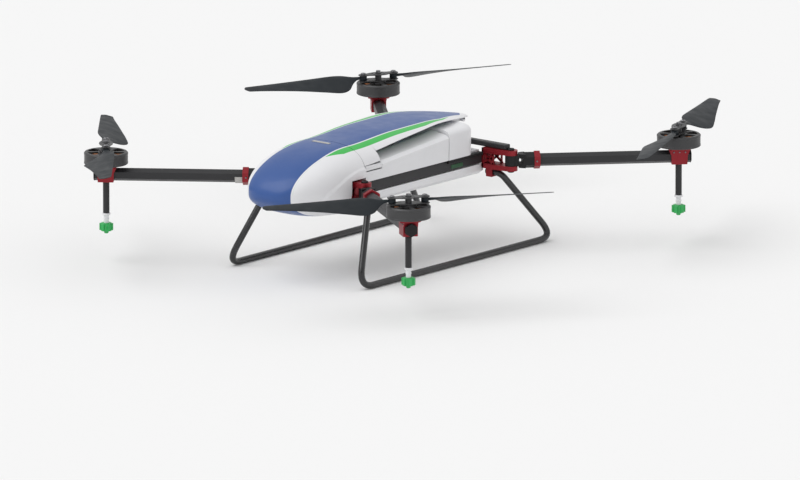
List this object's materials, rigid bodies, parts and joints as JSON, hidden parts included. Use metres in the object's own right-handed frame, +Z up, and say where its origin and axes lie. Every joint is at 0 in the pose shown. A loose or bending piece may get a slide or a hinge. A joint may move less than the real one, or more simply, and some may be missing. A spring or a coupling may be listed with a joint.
{
  "type": "agricultural spray drone",
  "caption": "Folding rotorcraft for crop spraying: streamlined hull with tank and hood, rail frame, hinged arms with motors, folding propellers and nozzles, and bent-tube skids.",
  "frame": {"origin": "on the belly plate's underside, on the centre line, halfway between the front and rear motors", "axes": "+Z up, -Y forwards to the nose, +X to the craft's own left"},
  "size_m": [1.3902, 1.6513, 0.326],
  "materials": {
    "white_shell": "gloss white moulded plastic, with blue and green bands on the cowl and hood",
    "carbon_frame": "satin carbon-fibre composite",
    "red_anodised": "satin dark red anodised aluminium",
    "black_plastic": "matt black glass-filled nylon",
    "motor_metal": "satin dark grey anodised aluminium",
    "blade_composite": "satin dark slate composite",
    "nozzle_green": "satin green moulded plastic",
    "light_grey": "satin light grey plastic"
  },
  "bodies": {
    "airframe": {"nose_cowl": "white_shell", "spray_tank": "white_shell", "battery_bay": "white_shell", "battery_pack": "black_plastic", "flight_controller": "black_plastic", "spray_pump": "black_plastic", "left_rail": "carbon_frame", "right_rail": "carbon_frame", "front_crossbar": "carbon_frame", "rear_crossbar": "carbon_frame", "belly_plate": "carbon_frame", "left_skid": "carbon_frame", "right_skid": "carbon_frame", "hinge_block_front_left": "red_anodised", "hinge_block_front_right": "red_anodised", "hinge_block_rear_left": "red_anodised", "hinge_block_rear_right": "red_anodised"},
    "hood": {"rear_hood": "white_shell"},
    "latch": {"hood_latch": "light_grey"},
    "cap": {"tank_cap": "black_plastic"},
    "arm_front_left": {"arm_fork_front_left": "black_plastic", "arm_tube_front_left": "carbon_frame", "motor_mount_front_left": "red_anodised", "spray_tube_front_left": "carbon_frame", "nozzle_adapter_front_left": "white_shell", "nozzle_front_left": "nozzle_green"},
    "rotor_front_left": {"motor_bell_front_left": "motor_metal", "propeller_hub_front_left": "motor_metal"},
    "blade_a_front_left": {"blade_a_front_left": "blade_composite"},
    "blade_b_front_left": {"blade_b_front_left": "blade_composite"},
    "arm_front_right": {"arm_fork_front_right": "black_plastic", "arm_tube_front_right": "carbon_frame", "motor_mount_front_right": "red_anodised", "spray_tube_front_right": "carbon_frame", "nozzle_adapter_front_right": "white_shell", "nozzle_front_right": "nozzle_green"},
    "rotor_front_right": {"motor_bell_front_right": "motor_metal", "propeller_hub_front_right": "motor_metal"},
    "blade_a_front_right": {"blade_a_front_right": "blade_composite"},
    "blade_b_front_right": {"blade_b_front_right": "blade_composite"},
    "arm_rear_left": {"arm_fork_rear_left": "black_plastic", "arm_tube_rear_left": "carbon_frame", "motor_mount_rear_left": "red_anodised", "spray_tube_rear_left": "carbon_frame", "nozzle_adapter_rear_left": "white_shell", "nozzle_rear_left": "nozzle_green"},
    "rotor_rear_left": {"motor_bell_rear_left": "motor_metal", "propeller_hub_rear_left": "motor_metal"},
    "blade_a_rear_left": {"blade_a_rear_left": "blade_composite"},
    "blade_b_rear_left": {"blade_b_rear_left": "blade_composite"},
    "arm_rear_right": {"arm_fork_rear_right": "black_plastic", "arm_tube_rear_right": "carbon_frame", "motor_mount_rear_right": "red_anodised", "spray_tube_rear_right": "carbon_frame", "nozzle_adapter_rear_right": "white_shell", "nozzle_rear_right": "nozzle_green"},
    "rotor_rear_right": {"motor_bell_rear_right": "motor_metal", "propeller_hub_rear_right": "motor_metal"},
    "blade_a_rear_right": {"blade_a_rear_right": "blade_composite"},
    "blade_b_rear_right": {"blade_b_rear_right": "blade_composite"}
  },
  "joints": [
    {"name": "hood_open", "type": "hinge", "parent": "airframe", "child": "hood", "pos_m": [0, 0.25, 0.119], "axis": [-1, 0, 0], "range_deg": [0, 70]},
    {"name": "latch_press", "type": "slide", "parent": "airframe", "child": "latch", "axis": [0, 0, -1], "range_m": [0, 0.003]},
    {"name": "cap_turn", "type": "hinge", "parent": "airframe", "child": "cap", "pos_m": [0, -0.06, 0.115], "axis": [0, 0, 1], "range_deg": [0, 90]},
    {"name": "arm_fold_front_left", "type": "hinge", "parent": "airframe", "child": "arm_front_left", "pos_m": [0.144, -0.282, 0.047], "axis": [0, 0, -1], "range_deg": [0, 54]},
    {"name": "rotor_spin_front_left", "type": "hinge", "parent": "arm_front_left", "child": "rotor_front_left", "pos_m": [0.46802, -0.51312, 0.09], "axis": [0, 0, 1], "continuous": true},
    {"name": "blade_fold_a_front_left", "type": "hinge", "parent": "rotor_front_left", "child": "blade_a_front_left", "pos_m": [0.49175, -0.48092, 0.1144], "axis": [0, 0, 1], "range_deg": [-80, 80]},
    {"name": "blade_fold_b_front_left", "type": "hinge", "parent": "rotor_front_left", "child": "blade_b_front_left", "pos_m": [0.44428, -0.54532, 0.1144], "axis": [0, 0, -1], "range_deg": [-80, 80]},
    {"name": "arm_fold_front_right", "type": "hinge", "parent": "airframe", "child": "arm_front_right", "pos_m": [-0.144, -0.282, 0.047], "axis": [0, 0, 1], "range_deg": [0, 54]},
    {"name": "rotor_spin_front_right", "type": "hinge", "parent": "arm_front_right", "child": "rotor_front_right", "pos_m": [-0.46802, -0.51312, 0.09], "axis": [0, 0, 1], "continuous": true},
    {"name": "blade_fold_a_front_right", "type": "hinge", "parent": "rotor_front_right", "child": "blade_a_front_right", "pos_m": [-0.49389, -0.48261, 0.1144], "axis": [0, 0, -1], "range_deg": [-80, 80]},
    {"name": "blade_fold_b_front_right", "type": "hinge", "parent": "rotor_front_right", "child": "blade_b_front_right", "pos_m": [-0.44215, -0.54363, 0.1144], "axis": [0, 0, 1], "range_deg": [-80, 80]},
    {"name": "arm_fold_rear_left", "type": "hinge", "parent": "airframe", "child": "arm_rear_left", "pos_m": [0.1855, 0.2207, 0.047], "axis": [0, 0, 1], "range_deg": [0, 44]},
    {"name": "rotor_spin_rear_left", "type": "hinge", "parent": "arm_rear_left", "child": "rotor_rear_left", "pos_m": [0.46788, 0.51311, 0.09], "axis": [0, 0, 1], "continuous": true},
    {"name": "blade_fold_a_rear_left", "type": "hinge", "parent": "rotor_rear_left", "child": "blade_a_rear_left", "pos_m": [0.45142, 0.54957, 0.1144], "axis": [0, 0, 1], "range_deg": [-80, 80]},
    {"name": "blade_fold_b_rear_left", "type": "hinge", "parent": "rotor_rear_left", "child": "blade_b_rear_left", "pos_m": [0.48434, 0.47666, 0.1144], "axis": [0, 0, -1], "range_deg": [-80, 80]},
    {"name": "arm_fold_rear_right", "type": "hinge", "parent": "airframe", "child": "arm_rear_right", "pos_m": [-0.1855, 0.2207, 0.047], "axis": [0, 0, -1], "range_deg": [0, 44]},
    {"name": "rotor_spin_rear_right", "type": "hinge", "parent": "arm_rear_right", "child": "rotor_rear_right", "pos_m": [-0.46788, 0.51311, 0.09], "axis": [0, 0, 1], "continuous": true},
    {"name": "blade_fold_a_rear_right", "type": "hinge", "parent": "rotor_rear_right", "child": "blade_a_rear_right", "pos_m": [-0.45003, 0.54891, 0.1144], "axis": [0, 0, -1], "range_deg": [-80, 80]},
    {"name": "blade_fold_b_rear_right", "type": "hinge", "parent": "rotor_rear_right", "child": "blade_b_rear_right", "pos_m": [-0.48573, 0.47731, 0.1144], "axis": [0, 0, 1], "range_deg": [-80, 80]}
  ]
}
